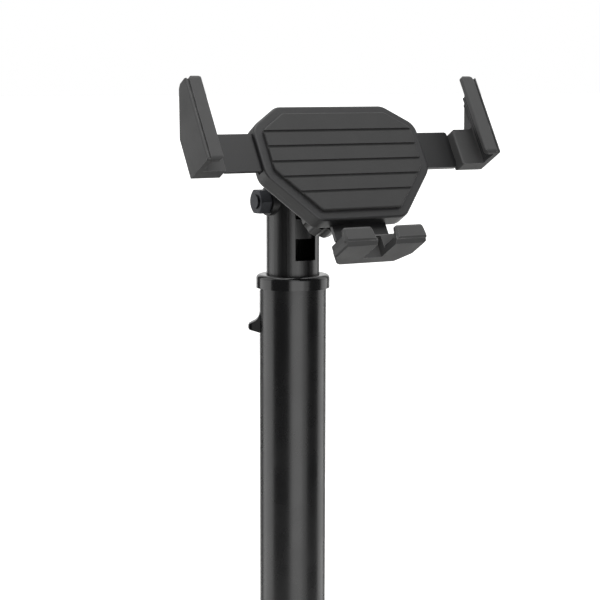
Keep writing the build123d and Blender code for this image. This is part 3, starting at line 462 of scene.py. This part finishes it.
def carved(target, cutter):
    """A mesh with another cut out of it."""
    body = bpy.data.objects.new("carve_body", target)
    tool = bpy.data.objects.new("carve_tool", cutter)
    for made in (body, tool):
        bpy.context.scene.collection.objects.link(made)
    cut = body.modifiers.new("cut", "BOOLEAN")
    cut.object, cut.operation, cut.solver = tool, "DIFFERENCE", "EXACT"
    bpy.context.view_layer.update()
    graph = bpy.context.evaluated_depsgraph_get()
    result = bpy.data.meshes.new_from_object(body.evaluated_get(graph))
    for made in (body, tool):
        bpy.data.objects.remove(made)
    return result


def cross_screw(head_radius, head_height, dome, shank_radius, shank_length, recess_depth):
    """A cross-head screw that points down -Z, its head's underside at the origin."""
    turns = [2 * math.pi * i / screw_sides for i in range(screw_sides)]
    head_line = [(head_radius, 0.0)]
    for i in range(dome_steps + 1):
        angle = 0.5 * math.pi * i / dome_steps
        crown = head_radius - dome * (1 - math.cos(angle))
        head_line.append((crown, head_height - dome + dome * math.sin(angle)))
    head = ringed_mesh(
        "screw_head",
        [[(r * math.cos(a), r * math.sin(a), z) for a in turns] for r, z in head_line],
    )
    arm = recess_long_share * head_radius
    half_wide = recess_wide_share * head_radius
    least = half_wide * recess_least_share
    recess_levels = (
        (recess_foot_share, head_height - recess_depth),
        (recess_mouth_share, head_height + recess_overrun),
    )
    cutter = bmesh.new()
    for across, along in ((arm, half_wide), (half_wide, arm)):
        levels = []
        for share, z in recess_levels:
            x, y = max(across * share, least), max(along * share, least)
            corners = ((-x, -y, z), (x, -y, z), (x, y, z), (-x, y, z))
            levels.append([cutter.verts.new(corner) for corner in corners])
        low, high = levels
        cutter.faces.new(low[::-1])
        cutter.faces.new(high)
        for i in range(4):
            cutter.faces.new((low[i], low[(i + 1) % 4], high[(i + 1) % 4], high[i]))
    recess = bpy.data.meshes.new("screw_recess")
    cutter.to_mesh(recess)
    cutter.free()
    work = bmesh.new()
    work.from_mesh(carved(head, recess))
    rows = int(shank_length / thread_pitch * thread_rows)
    rings = []
    for row in range(rows + 1):
        z = -shank_length * row / rows
        taper = min(1.0, (shank_length + z) / (2 * thread_pitch) + screw_tip_share)
        ring = []
        for a in turns:
            phase = (z / thread_pitch + a / (2 * math.pi)) % 1
            dip = thread_depth * min(1.0, thread_steepness * abs(phase - 0.5))
            r = shank_radius * taper - dip
            ring.append((r * math.cos(a), r * math.sin(a), z))
        rings.append(ring)
    work.from_mesh(ringed_mesh("screw_shank", rings))
    mesh = bpy.data.meshes.new("cross_screw")
    work.to_mesh(mesh)
    work.free()
    return mesh


def screw_set(name, node, body, screw, places, material):
    """Like screws in one piece: each stands at a point with its head facing a direction."""
    work = bmesh.new()
    for point, facing in places:
        copy = screw.copy()
        turn = Vector(facing).to_track_quat("Z", "Y").to_matrix().to_4x4()
        copy.transform(Matrix.Translation(point) @ turn)
        work.from_mesh(copy)
    mesh = bpy.data.meshes.new(name)
    work.to_mesh(mesh)
    work.free()
    made = mesh_object(name, mesh)
    mesh.materials.append(material)
    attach(made, body)
    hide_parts(node)
    return made


# Black zinc plate: dark metal with a soft cloudy film
screw_black = plated_metal(
    "black_zinc_plate", metal="#3a3b3e", roughness=0.36, grain_stretch=(1.0, 1.0, 1.0)
)
collar_screw = cross_screw(
    head_radius=2.5 * mm,
    head_height=0.6 * mm,
    dome=0.3 * mm,
    shank_radius=1.23 * mm,
    shank_length=2.9 * mm,
    recess_depth=0.42 * mm,
)
collar_places = []
for turn in collar_screw_turns:
    facing = Vector((math.cos(math.radians(turn)), math.sin(math.radians(turn)), 0))
    seat = facing * (tube_radius - collar_screw_sink) + Vector((0, 0, collar_screw_z))
    collar_places.append((seat, facing))
screw_set("collar_cross_screws", "collar_screws", "stand", collar_screw, collar_places, screw_black)

# Release lever, its pin, spring and brake pad
# A glass-filled nylon rocker on a steel pin, flush in the tube with a thumb nub below
# the pin. A bowed leaf of spring steel pushes the rubber pad on the mast.
lever_turn = math.radians(150.0)
leaf_foot = 15.95 * mm
leaf_bow, leaf_thick = 1.0 * mm, 0.3 * mm
leaf_half, leaf_span = 2.4 * mm, 4.8 * mm
leaf_z = 667.8 * mm
leaf_steps = 24

# Glass-filled nylon: hard and slightly mottled, polished by thumbs on the nub
lever_nylon = moulded_plastic(
    "glass_filled_nylon",
    tone="#0e0e0f",
    edge_wear_and_highlight_tone="#48484a",
    roughness=0.24,
    grain=0.5 * mm,
    grain_height=0.004 * mm,
    gloss_level=0.12,
)
dress(lever_nylon, "release_lever")
dress(zinc_plate, "lever_pin")

# Spring steel: grey, bright and drawn along the leaf
spring_steel = plated_metal(
    "spring_steel", metal="#8f9093", roughness=0.28, grain_stretch=(2.0, 2.0, 0.3)
)

leaf_facing = Vector((math.cos(lever_turn), math.sin(lever_turn), 0.0))
leaf_across = Vector((-math.sin(lever_turn), math.cos(lever_turn), 0.0))
leaf_middle = Vector((0.0, 0.0, leaf_z))
leaf_rings = []
for step in range(leaf_steps + 1):
    along = 2 * step / leaf_steps - 1
    near = leaf_foot + leaf_bow * (1 - along**2)
    far = near + leaf_thick
    centre = leaf_middle + Vector((0.0, 0.0, leaf_span * along))
    corners = ((-leaf_half, near), (leaf_half, near), (leaf_half, far), (-leaf_half, far))
    leaf_rings.append([centre + leaf_facing * out + leaf_across * side for side, out in corners])
leaf_mesh = ringed_mesh("bowed_leaf_spring", leaf_rings)
leaf = mesh_object("bowed_leaf_spring", leaf_mesh)
leaf_mesh.materials.append(spring_steel)
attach(leaf, "stand")
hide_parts("lever_spring")
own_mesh(leaf)

# Brake rubber: harder and smoother than the feet, shiny where it grips
brake_rubber = moulded_rubber("brake_rubber", black="#262423", roughness=0.6, grain=0.5 * mm)
dress(brake_rubber, "brake_pad")

# Mast foot plug and lower glide
# The plug is moulded and pressed into the mast's lower end. The glide is a split ring
# of natural nylon on its stem, and slides in the outer tube.

# Natural nylon: milky off-white, dull and waxy
glide_nylon = moulded_plastic(
    "natural_nylon",
    tone="#ddd8c8",
    edge_wear_and_highlight_tone="#e6e2d4",
    roughness=0.4,
    grain=0.6 * mm,
    grain_height=0.01 * mm,
)
dress(glide_nylon, "lower_glide")

# Recycled polypropylene: dull dark grey, with flow marks
plug_polypropylene = moulded_plastic(
    "polypropylene",
    tone="#2e2f31",
    edge_wear_and_highlight_tone="#4a4b4d",
    roughness=0.5,
    grain=0.8 * mm,
    grain_height=0.015 * mm,
)
dress(plug_polypropylene, "mast_foot_plug")

# Mast and its head
# The inner tube, 30 mm across, enamelled like the outer one and slotted at the front
# of its top end. A die-cast fork is pushed into it and rounds off its end.
streak_length, streak_width = 60 * mm, 0.9 * mm
streak_polish, streak_dulling = 0.05, 0.09
streak_gain = 1.7
mast_peel, mast_peel_height = 2.6 * mm, 0.006 * mm


def slid_enamel(name, black, roughness):
    """Enamel on a tube that slides: semi-gloss black with fine upright rub marks."""
    material = empty_material(name)
    place = add_node(material, "ShaderNodeTexCoord").outputs["Object"]
    upright = add_node(
        material,
        "ShaderNodeMapping",
        {"Scale": (1.0, 1.0, streak_width / streak_length)},
        {"Vector": place},
    )
    rubs = add_node(
        material,
        "ShaderNodeTexNoise",
        {"Scale": 1 / streak_width, "Detail": 3.0},
        {"Vector": upright.outputs["Vector"]},
    )
    skin = add_node(
        material, "ShaderNodeTexNoise", {"Scale": 1 / mast_peel, "Detail": 1.5}, {"Vector": place}
    )
    gloss = add_node(
        material,
        "ShaderNodeMapRange",
        {
            "From Min": 0.35,
            "From Max": noise_high,
            "To Min": roughness - streak_polish,
            "To Max": roughness + streak_dulling,
        },
        {"Value": rubs.outputs["Fac"]},
    )
    rubbed = [part * streak_gain for part in linear(black)[:3]] + [1.0]
    streak = add_node(
        material,
        "ShaderNodeMapRange",
        {"From Min": 0.55, "From Max": 0.75, "To Min": 0.0, "To Max": 1.0},
        {"Value": rubs.outputs["Fac"]},
    )
    colour = add_node(
        material,
        "ShaderNodeMix",
        {"data_type": "RGBA", mix_first: linear(black), mix_second: rubbed},
        {mix_share: streak.outputs["Result"]},
    )
    bump = add_node(
        material,
        "ShaderNodeBump",
        {"Strength": 1.0, "Distance": mast_peel_height},
        {"Height": skin.outputs["Fac"]},
    )
    coat = add_node(
        material,
        "ShaderNodeBsdfPrincipled",
        {"IOR": 1.5},
        {
            "Base Color": colour.outputs[mix_out],
            "Roughness": gloss.outputs["Result"],
            "Normal": bump.outputs["Normal"],
        },
    )
    add_node(material, "ShaderNodeOutputMaterial", None, {"Surface": coat.outputs["BSDF"]})
    return material


# Slid stove enamel: near black and semi-gloss, with long fine rubs down its length
mast_enamel = slid_enamel("slid_stove_enamel", black="#0d0d0e", roughness=0.3)
dress(mast_enamel, "mast_tube")

# Painted zinc die casting: matt black over a slightly pebbled cast skin
cast_zinc = coated_steel(
    "painted_die_casting",
    black="#131314",
    rubbed="#39393b",
    roughness=0.44,
    peel=1.1 * mm,
    peel_height=0.03 * mm,
)
dress(cast_zinc, "mast_head")

# Tilt bolt, nut and washers
# An M8 socket-head bolt through the fork and the arm's tongue. Its saddle washers are
# hollowed to sit on the round mast, and friction washers grip the tongue's sides.
nut_flats_half = 6.5 * mm
nut_height = 7.0 * mm
nut_bore = 3.98 * mm
nut_chamfer_share = 0.97
nut_chamfer_angle = math.radians(30)
nut_inner_x = -17.2 * mm
nut_sides = 72
nut_smooth_angle = 20.0
hinge_z = 737.8 * mm
sixth_turn = math.pi / 3

dress(screw_black, "tilt_bolt")
dress(cast_zinc, "saddle_washers")

# Acetal friction washers: off-white and dull, with a fine grain
friction_acetal = moulded_plastic(
    "friction_acetal",
    tone="#c9c6bd",
    edge_wear_and_highlight_tone="#d6d3ca",
    roughness=0.45,
    grain=0.5 * mm,
    grain_height=0.01 * mm,
)
dress(friction_acetal, "tilt_friction_washers")

nut_rings = []
chamfer_radius = nut_flats_half * nut_chamfer_share
for side in (-1, 1):
    face_x = nut_inner_x - nut_height / 2 + side * nut_height / 2
    flat_ring, bore_ring, rim_ring = [], [], []
    for i in range(nut_sides):
        angle = 2 * math.pi * i / nut_sides
        from_flat = (angle + sixth_turn / 2) % sixth_turn - sixth_turn / 2
        reach = nut_flats_half / math.cos(from_flat)
        drop = (reach - chamfer_radius) * math.tan(nut_chamfer_angle)
        y, z = math.sin(angle), math.cos(angle)
        bore_ring.append((face_x, nut_bore * y, hinge_z + nut_bore * z))
        flat_ring.append((face_x, chamfer_radius * y, hinge_z + chamfer_radius * z))
        rim_ring.append((face_x - side * drop, reach * y, hinge_z + reach * z))
    nut_rings += [bore_ring, flat_ring, rim_ring] if side < 0 else [rim_ring, flat_ring, bore_ring]
nut_mesh = ringed_mesh("tilt_nut_chamfered", nut_rings, closed_ends=False)
tilt_nut = mesh_object("tilt_nut_chamfered", nut_mesh, nut_smooth_angle)
nut_mesh.materials.append(screw_black)
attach(tilt_nut, "mast")
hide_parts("tilt_nut")

# Tilt arm and the turning joint
# One zinc casting: a tongue in the mast's fork, a neck and a round flange. A shoulder
# bolt with a spring washer holds the holder on it, over a friction disc.
dress(cast_zinc, "tilt_arm")
dress(zinc_plate, "spin_bolt")
dress(spring_steel, "spin_spring_washer")
dress(friction_acetal, "spin_friction_disc")

# Housing: rear shell, front cover, back pad, screws and inserts
# Two black ABS mouldings screwed together round the arms, with an eroded grain and a
# grooved rubber pad glued on the face. Brass bushes in the rear shell take the studs.
shell_screw_across, shell_screw_up, shell_screw_seat = 27.0, 19.0, -11.9
holder_origin = Vector((0.0, -53.278 * mm, 769.509 * mm))
holder_across = Vector((1.0, 0.0, 0.0))
holder_up = Vector((0.0, 0.51144, 0.85932))
holder_out = Vector((0.0, -0.85932, 0.51144))


def on_holder(x, y, z):
    """A point from its place across, up and out of the holder, in millimetres."""
    return holder_origin + (holder_across * x + holder_up * y + holder_out * z) * mm


# Grained ABS: matt near black, its tool's eroded grain drawn at 0.7 mm so that it shows
shell_abs = moulded_plastic(
    "grained_abs",
    tone="#1f1f20",
    edge_wear_and_highlight_tone="#464648",
    roughness=0.48,
    grain=0.7 * mm,
    grain_height=0.03 * mm,
)
dress(shell_abs, "rear_shell", "front_cover")

# Silicone rubber: dull black with a soft sheen
pad_rubber = moulded_rubber("silicone_rubber", black="#1a1a1a", roughness=0.66, grain=0.6 * mm)
dress(pad_rubber, "back_pad")

# Turned brass: warm yellow, bright on the fresh-cut face
insert_brass = plated_metal(
    "turned_brass", metal="#b08d4f", roughness=0.26, grain_stretch=(1.0, 4.0, 1.0)
)
dress(insert_brass, "knob_inserts")
dress(zinc_plate, "side_clamp_plate")

shell_screw = cross_screw(
    head_radius=2.4 * mm,
    head_height=1.2 * mm,
    dome=0.5 * mm,
    shank_radius=1.25 * mm,
    shank_length=7.6 * mm,
    recess_depth=0.9 * mm,
)
shell_places = [
    (on_holder(x, y, shell_screw_seat), -holder_out)
    for x in (-shell_screw_across, shell_screw_across)
    for y in (-shell_screw_up, shell_screw_up)
]
screw_set("shell_cross_screws", "shell_screws", "holder", shell_screw, shell_places, screw_black)

# Pinion and the side arms
# The pinion is moulded acetal. The arms are steel strip, blanked with the rack's teeth
# along a slot and painted black, and the teeth rub the paint off their own edges.

# Moulded acetal: white, smooth and slightly waxy
gear_acetal = moulded_plastic(
    "gear_acetal",
    tone="#d4d2cb",
    edge_wear_and_highlight_tone="#dedcd6",
    roughness=0.36,
    grain=0.6 * mm,
    grain_height=0.008 * mm,
)
dress(gear_acetal, "pinion")

# Painted steel strip: satin black, worn to grey on its corners
strip_paint = coated_steel(
    "painted_steel_strip",
    black="#151516",
    rubbed="#56575a",
    roughness=0.34,
    peel=1.4 * mm,
    peel_height=0.01 * mm,
)
dress(strip_paint, "left_arm_rack", "right_arm_rack")

# Side jaws, liners and screws
# Each jaw is one ABS moulding, a hook round the tablet's edge on a foot that takes
# the arm's end. Two screws hold it from behind, and a ribbed rubber liner is glued
# inside the hook.
liner_low, liner_high = -10.5, 28.7
liner_outer, liner_depth = 88.95, 8.4
liner_thickness, liner_base = 0.6, 0.34
liner_rows, rib_pitch = 60, 1.4
liner_edge_run, liner_edge_share = 0.5, 0.6
liner_end_run, liner_end_share = 0.4, 0.7
jaw_screw_across, jaw_screw_up, jaw_screw_seat = 79.75, 4.6, -8.8

# Matt ABS: dark grey, its eroded grain drawn at 0.6 mm, edges much paler with a painted highlight
# as well as rubbed wear
jaw_abs = moulded_plastic(
    "matt_abs",
    tone="#4b4b4b",
    edge_wear_and_highlight_tone="#868686",
    roughness=0.46,
    grain=0.6 * mm,
    grain_height=0.022 * mm,
    gloss_level=0.18,
)
dress(jaw_abs, "left_jaw", "right_jaw")

# Ribbed rubber: black and dull, its ribs standing in real relief
liner_rubber = moulded_rubber("ribbed_rubber", black="#1b1b1c", roughness=0.62, grain=0.5 * mm)
jaw_screw = cross_screw(
    head_radius=2.68 * mm,
    head_height=1.58 * mm,
    dome=0.62 * mm,
    shank_radius=1.5 * mm,
    shank_length=7.0 * mm,
    recess_depth=1.1 * mm,
)

for side, name in ((-1, "left"), (1, "right")):
    profile = []
    for row in range(liner_rows + 1):
        z = liner_depth * row / liner_rows
        rise = 0.5 - 0.5 * math.cos(2 * math.pi * z / rib_pitch)
        edge = min(1.0, z / liner_edge_run, (liner_depth - z) / liner_edge_run)
        base = liner_base * (liner_edge_share + (1 - liner_edge_share) * edge)
        profile.append((base + (liner_thickness - liner_base) * rise * edge, z))
    profile += [(0.0, liner_depth), (0.0, 0.0)]
    ends = (
        (liner_low, liner_end_share),
        (liner_low + liner_end_run, 1.0),
        (liner_high - liner_end_run, 1.0),
        (liner_high, liner_end_share),
    )
    rings = [
        [on_holder(side * (liner_outer - thick * share), y, z) for thick, z in profile]
        for y, share in ends
    ]
    liner_mesh = ringed_mesh(name + "_ribbed_liner", rings)
    liner = mesh_object(name + "_ribbed_liner", liner_mesh)
    liner_mesh.materials.append(liner_rubber)
    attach(liner, name + "_arm")
    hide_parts(name + "_jaw_pad")
    screw_places = [
        (on_holder(side * jaw_screw_across, y, jaw_screw_seat), -holder_out)
        for y in (-jaw_screw_up, jaw_screw_up)
    ]
    screw_set(
        name + "_jaw_cross_screws",
        name + "_jaw_screws",
        name + "_arm",
        jaw_screw,
        screw_places,
        screw_black,
    )

# Bottom arm, bottom jaw, pads and screws
# A forked strip slides down out of the housing and carries a moulded shelf. Its two
# bevelled lips leave a gap for a charging plug, and rubber pads line the shelf.
bottom_screw_across, bottom_screw_up, bottom_screw_seat = 10.2, -56.2, -12.2

dress(strip_paint, "bottom_arm")
dress(jaw_abs, "bottom_jaw")
dress(pad_rubber, "bottom_jaw_pads")
bottom_screw_places = [
    (on_holder(x, bottom_screw_up, bottom_screw_seat), -holder_out)
    for x in (-bottom_screw_across, bottom_screw_across)
]
bottom_screw = cross_screw(
    head_radius=2.68 * mm,
    head_height=1.58 * mm,
    dome=0.62 * mm,
    shank_radius=1.5 * mm,
    shank_length=10.4 * mm,
    recess_depth=1.1 * mm,
)
screw_set(
    "bottom_jaw_cross_screws",
    "bottom_jaw_screws",
    "bottom_arm",
    bottom_screw,
    bottom_screw_places,
    screw_black,
)

# Lock knobs and studs
# Fluted grips moulded round steel studs. One pinches the side arms against the clamp
# plate, the other holds the bottom arm.

# Hard phenolic: black with a dull shine, smooth to the hand
knob_phenolic = moulded_plastic(
    "moulded_phenolic",
    tone="#171718",
    edge_wear_and_highlight_tone="#404042",
    roughness=0.33,
    grain=0.8 * mm,
    grain_height=0.01 * mm,
)
dress(knob_phenolic, "side_lock_knob", "bottom_lock_knob")
dress(zinc_plate, "side_lock_stud", "bottom_lock_stud")

# Floor and surround
# A plain pale board that keeps the stand's shadow, in a white surround. Away from the
# stand the board is lifted to the surround's white, for the lens and for gloss alike.
floor_half = 90.0
floor_fibre = 8 * mm
floor_lift = 0.95
lift_starts, lift_ends = 0.35, 1.45
fill_level, surround_level = 0.5, 1.0

floor_mesh = bpy.data.meshes.new("floor")
floor_mesh.from_pydata(
    [(x * floor_half, y * floor_half, 0.0) for x, y in ((-1, -1), (1, -1), (1, 1), (-1, 1))],
    [],
    [(0, 1, 2, 3)],
)
floor = bpy.data.objects.new("floor", floor_mesh)
bpy.context.scene.collection.objects.link(floor)

# Matt white board: even and dull, with a faint fibre; it throws little light back up
board = empty_material("matt_white_board")
floor_place = add_node(board, "ShaderNodeTexCoord").outputs["Object"]
fibre = add_node(
    board, "ShaderNodeTexNoise", {"Scale": 1 / floor_fibre, "Detail": 3.0}, {"Vector": floor_place}
)
shade = add_node(
    board,
    "ShaderNodeMix",
    {"data_type": "RGBA", mix_first: linear("#ebebe9"), mix_second: linear("#e6e6e4")},
    {mix_share: fibre.outputs["Fac"]},
)
from_stand = add_node(board, "ShaderNodeVectorMath", {"operation": "LENGTH"}, {0: floor_place})
lift_level = add_node(
    board,
    "ShaderNodeMapRange",
    {"From Min": lift_starts, "From Max": lift_ends, "To Min": 0.0, "To Max": floor_lift},
    {"Value": from_stand.outputs["Value"]},
)
floor_rays = add_node(board, "ShaderNodeLightPath")
bounced = add_node(
    board,
    "ShaderNodeMix",
    {"data_type": "RGBA", mix_second: linear("#5c5c5c")},
    {mix_share: floor_rays.outputs["Is Diffuse Ray"], mix_first: shade.outputs[mix_out]},
)
paper = add_node(
    board, "ShaderNodeBsdfDiffuse", {"Roughness": 0.6}, {"Color": bounced.outputs[mix_out]}
)
through = add_node(
    board,
    "ShaderNodeMath",
    {"operation": "MAXIMUM"},
    {0: floor_rays.outputs["Is Glossy Ray"], 1: floor_rays.outputs["Is Transmission Ray"]},
)
straight = add_node(
    board,
    "ShaderNodeMath",
    {"operation": "MAXIMUM"},
    {0: floor_rays.outputs["Is Camera Ray"], 1: through.outputs["Value"]},
)
seen = add_node(
    board,
    "ShaderNodeMath",
    {"operation": "MULTIPLY"},
    {0: straight.outputs["Value"], 1: lift_level.outputs["Result"]},
)
lift = add_node(
    board, "ShaderNodeEmission", {"Color": (1, 1, 1, 1)}, {"Strength": seen.outputs["Value"]}
)
both = add_node(
    board, "ShaderNodeAddShader", None, {0: paper.outputs["BSDF"], 1: lift.outputs["Emission"]}
)
add_node(board, "ShaderNodeOutputMaterial", None, {"Surface": both.outputs["Shader"]})
floor_mesh.materials.append(board)

world = bpy.data.worlds.new("white_surround")
bpy.context.scene.world = world
world.use_nodes = True
world.node_tree.nodes.clear()
rays = add_node(world, "ShaderNodeLightPath")
mirrored = add_node(
    world,
    "ShaderNodeMath",
    {"operation": "MAXIMUM"},
    {0: rays.outputs["Is Glossy Ray"], 1: rays.outputs["Is Transmission Ray"]},
)
shown = add_node(
    world,
    "ShaderNodeMath",
    {"operation": "MAXIMUM"},
    {0: rays.outputs["Is Camera Ray"], 1: mirrored.outputs["Value"]},
)
level = add_node(
    world,
    "ShaderNodeMapRange",
    {"To Min": fill_level, "To Max": surround_level},
    {"Value": shown.outputs["Value"]},
)
surround = add_node(
    world, "ShaderNodeBackground", {"Color": (1, 1, 1, 1)}, {"Strength": level.outputs["Result"]}
)
add_node(world, "ShaderNodeOutputWorld", None, {"Surface": surround.outputs["Background"]})

# Camera
# It stands to the left of the stand's front, just above the holder's middle, and looks
# slightly down. The lens shift frames the picture without turning the camera.
camera_turn = math.radians(-30.88)
camera_rise = math.radians(8.94)
camera_place = Vector((-0.50116, -0.82536, 0.80317))
camera_lens, camera_sensor = 102.64, 36.0
camera_shift = (0.0311, 0.0864)
camera_near, camera_far = 0.01, 200.0

camera_data = bpy.data.cameras.new("camera")
camera_data.sensor_width = camera_sensor
camera_data.lens = camera_lens
camera_data.shift_x, camera_data.shift_y = camera_shift
camera_data.clip_start, camera_data.clip_end = camera_near, camera_far
camera = bpy.data.objects.new("camera", camera_data)
bpy.context.scene.collection.objects.link(camera)
camera_back = Vector(
    (
        math.sin(camera_turn) * math.cos(camera_rise),
        -math.cos(camera_turn) * math.cos(camera_rise),
        math.sin(camera_rise),
    )
)
camera.location = camera_place
camera.rotation_mode = "QUATERNION"
camera.rotation_quaternion = (-camera_back).to_track_quat("-Z", "Y")
bpy.context.scene.camera = camera

# Lamps and flags
# Tall soft boxes stand on the floor in front, left and right of the stand, with a
# wide one overhead. Flags of dark felt between them give the pole its dark bands.
box_distance, box_top = 1.35, 1.9
overhead_radiance, overhead_size = 2.2, 2.2
overhead_place = (0.0, -0.2, 2.7)
toward_camera = Vector((math.sin(camera_turn), -math.cos(camera_turn), 0.0))
camera_right = Vector((math.cos(camera_turn), math.sin(camera_turn), 0.0))


def stand_direction(turn):
    """The level direction at an angle from the camera, to the right of the picture."""
    angle = math.radians(turn)
    return toward_camera * math.cos(angle) + camera_right * math.sin(angle)


def soft_box(name, turn, spread, radiance):
    """A tall lamp panel on the floor, facing the pole, that fills an angle as seen from it."""
    lamp = bpy.data.lights.new(name, "AREA")
    lamp.shape = "RECTANGLE"
    lamp.size = 2 * box_distance * math.tan(math.radians(spread / 2))
    lamp.size_y = box_top
    lamp.energy = radiance * math.pi * lamp.size * lamp.size_y
    made = bpy.data.objects.new(name, lamp)
    bpy.context.scene.collection.objects.link(made)
    away = stand_direction(turn)
    made.location = away * box_distance + Vector((0.0, 0.0, box_top / 2))
    made.rotation_mode = "QUATERNION"
    made.rotation_quaternion = (-away).to_track_quat("-Z", "Y")
    made.visible_camera = False


soft_box("front_box", turn=15.0, spread=38.0, radiance=1.3)
soft_box("left_box", turn=-97.0, spread=50.0, radiance=0.65)
soft_box("right_box", turn=117.0, spread=34.0, radiance=0.4)

overhead = bpy.data.lights.new("overhead_box", "AREA")
overhead.size = overhead_size
overhead.energy = overhead_radiance * math.pi * overhead_size**2
overhead_box = bpy.data.objects.new("overhead_box", overhead)
overhead_box.location = overhead_place
overhead_box.visible_camera = False
bpy.context.scene.collection.objects.link(overhead_box)

# Grey felt: an even dark grey, seen in gloss only
felt = empty_material("grey_felt")
nap = add_node(felt, "ShaderNodeEmission", {"Color": linear("#5c5c5c"), "Strength": 1.0})
add_node(felt, "ShaderNodeOutputMaterial", None, {"Surface": nap.outputs["Emission"]})
# Each flag's name, its turn from the camera and the angle it fills, in degrees
flags = (
    ("left_flag", -41.0, 60.0),
    ("left_edge_flag", -136.0, 24.0),
    ("right_flag", 74.0, 48.0),
    ("right_edge_flag", 145.0, 18.0),
)
for name, turn, spread in flags:
    away = stand_direction(turn)
    across = Vector((0.0, 0.0, 1.0)).cross(away)
    half = across * box_distance * math.tan(math.radians(spread / 2))
    foot = away * box_distance
    top = foot + Vector((0.0, 0.0, box_top))
    flag_mesh = bpy.data.meshes.new(name)
    flag_mesh.from_pydata([foot - half, foot + half, top + half, top - half], [], [(0, 1, 2, 3)])
    flag_mesh.materials.append(felt)
    flag = bpy.data.objects.new(name, flag_mesh)
    bpy.context.scene.collection.objects.link(flag)
    flag.visible_camera = False
    flag.visible_diffuse = False
    flag.visible_shadow = False
    flag.visible_transmission = False

bpy.context.scene.view_settings.view_transform = "Standard"
